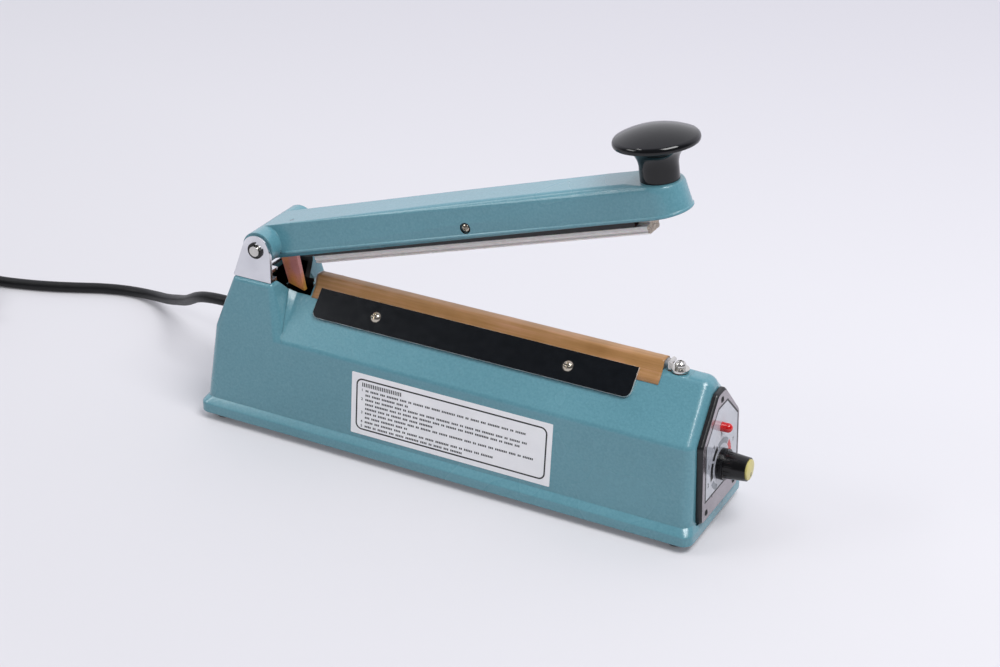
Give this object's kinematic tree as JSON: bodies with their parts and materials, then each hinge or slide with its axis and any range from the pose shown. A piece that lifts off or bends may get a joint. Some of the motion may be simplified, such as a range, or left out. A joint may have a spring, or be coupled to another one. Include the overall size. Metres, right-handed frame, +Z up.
{
  "type": "hand impulse sealer",
  "caption": "Hand impulse sealer: a hollow cast case with a heated ridge, and a sprung arm that presses a silicone strip on it, with timer dial, lamp and mains cord.",
  "frame": {"origin": "on the floor below the middle of the object, measured without its cord", "axes": "+X from the hinge to the control panel, -Y the side of the long label, +Z up"},
  "size_m": [0.6176, 0.1711, 0.2137],
  "materials": {
    "teal_paint": "hammered gloss paint",
    "zinc_sheet": "zinc plated",
    "black_rubber": "matt",
    "bright_steel": "bright plated",
    "chrome_sheet": "bright plated",
    "black_steel": "gloss",
    "bar_metal": "mill finish",
    "ribbon_metal": "rolled",
    "brown_cloth": "coated weave",
    "phenolic_board": "matt",
    "brass_tab": "bright",
    "black_moulding": "satin",
    "white_panel": "printed sheet",
    "red_lens": "clear tinted",
    "pot_case": "tin plated",
    "green_board": "lacquered",
    "relay_blue": "moulded",
    "capacitor_sleeve": "sleeved",
    "core_steel": "varnished laminations",
    "winding_tape": "taped",
    "cord_jacket": "satin",
    "tie_strap": "woven",
    "plug_brass": "bright",
    "silicone": "translucent",
    "gloss_black": "polished moulding",
    "cap_yellow": "moulded",
    "copper_plate": "copper plated"
  },
  "bodies": {
    "base": {"base_casting": "teal_paint", "bottom_plate": "zinc_sheet", "rubber_feet": "black_rubber", "foot_screws": "bright_steel", "hinge_bracket": "chrome_sheet", "bracket_screws": "bright_steel", "hinge_pin": "bright_steel", "pin_clips": "black_steel", "return_spring": "bright_steel", "heater_bar": "bar_metal", "heating_ribbon": "ribbon_metal", "release_cloth": "brown_cloth", "near_clamp_plate": "black_steel", "far_clamp_plate": "black_steel", "clamp_screws": "bright_steel", "terminal_insulators": "phenolic_board", "front_terminal": "bright_steel", "front_terminal_nut": "bright_steel", "front_terminal_screw": "bright_steel", "rear_terminal": "brass_tab", "rear_terminal_screw": "bright_steel", "panel_bezel": "black_moulding", "panel_plate": "white_panel", "panel_screws": "bright_steel", "lamp_lens": "red_lens", "lamp_holder": "black_moulding", "potentiometer": "pot_case", "pot_nut": "bright_steel", "timer_board": "green_board", "timer_relay": "relay_blue", "timer_capacitors": "capacitor_sleeve", "transformer_core": "core_steel", "transformer_winding": "winding_tape", "transformer_strap": "zinc_sheet", "transformer_screws": "bright_steel", "microswitch": "black_moulding", "switch_screws": "bright_steel", "cord_gland": "cord_jacket", "power_cord": "cord_jacket", "cord_coil": "cord_jacket", "cord_tie": "tie_strap", "plug_body": "cord_jacket", "plug_blades": "plug_brass"},
    "arm": {"arm_casting": "teal_paint", "strip_holder": "black_moulding", "silicone_strip": "silicone", "strip_screws": "bright_steel", "press_knob": "gloss_black", "knob_screw": "bright_steel", "switch_actuator": "copper_plate", "actuator_screw": "bright_steel"},
    "lever": {"switch_lever": "bright_steel"},
    "dial": {"dial_knob": "gloss_black", "dial_cap": "cap_yellow", "pot_shaft": "bright_steel"}
  },
  "joints": [
    {"name": "arm_hinge", "type": "hinge", "parent": "base", "child": "arm", "pos_m": [-0.12404, 0, 0.1065], "axis": [0, 1, 0], "range_deg": [0, 17.3], "stiffness_Nm_per_rad": 1.5, "springref_deg": -34.38, "deforming": ["return_spring"]},
    {"name": "lever_pivot", "type": "hinge", "parent": "base", "child": "lever", "pos_m": [-0.12304, -0.004, 0.052], "axis": [0, -1, 0], "range_deg": [0, 15.3]},
    {"name": "dial_turn", "type": "hinge", "parent": "base", "child": "dial", "pos_m": [0.13856, 0, 0.0365], "axis": [0.9992, 0, 0.0401], "range_deg": [-140, 140]}
  ],
  "couplings": [
    {"joint": "lever_pivot", "follows": "arm_hinge", "ratio": 0.88}
  ]
}
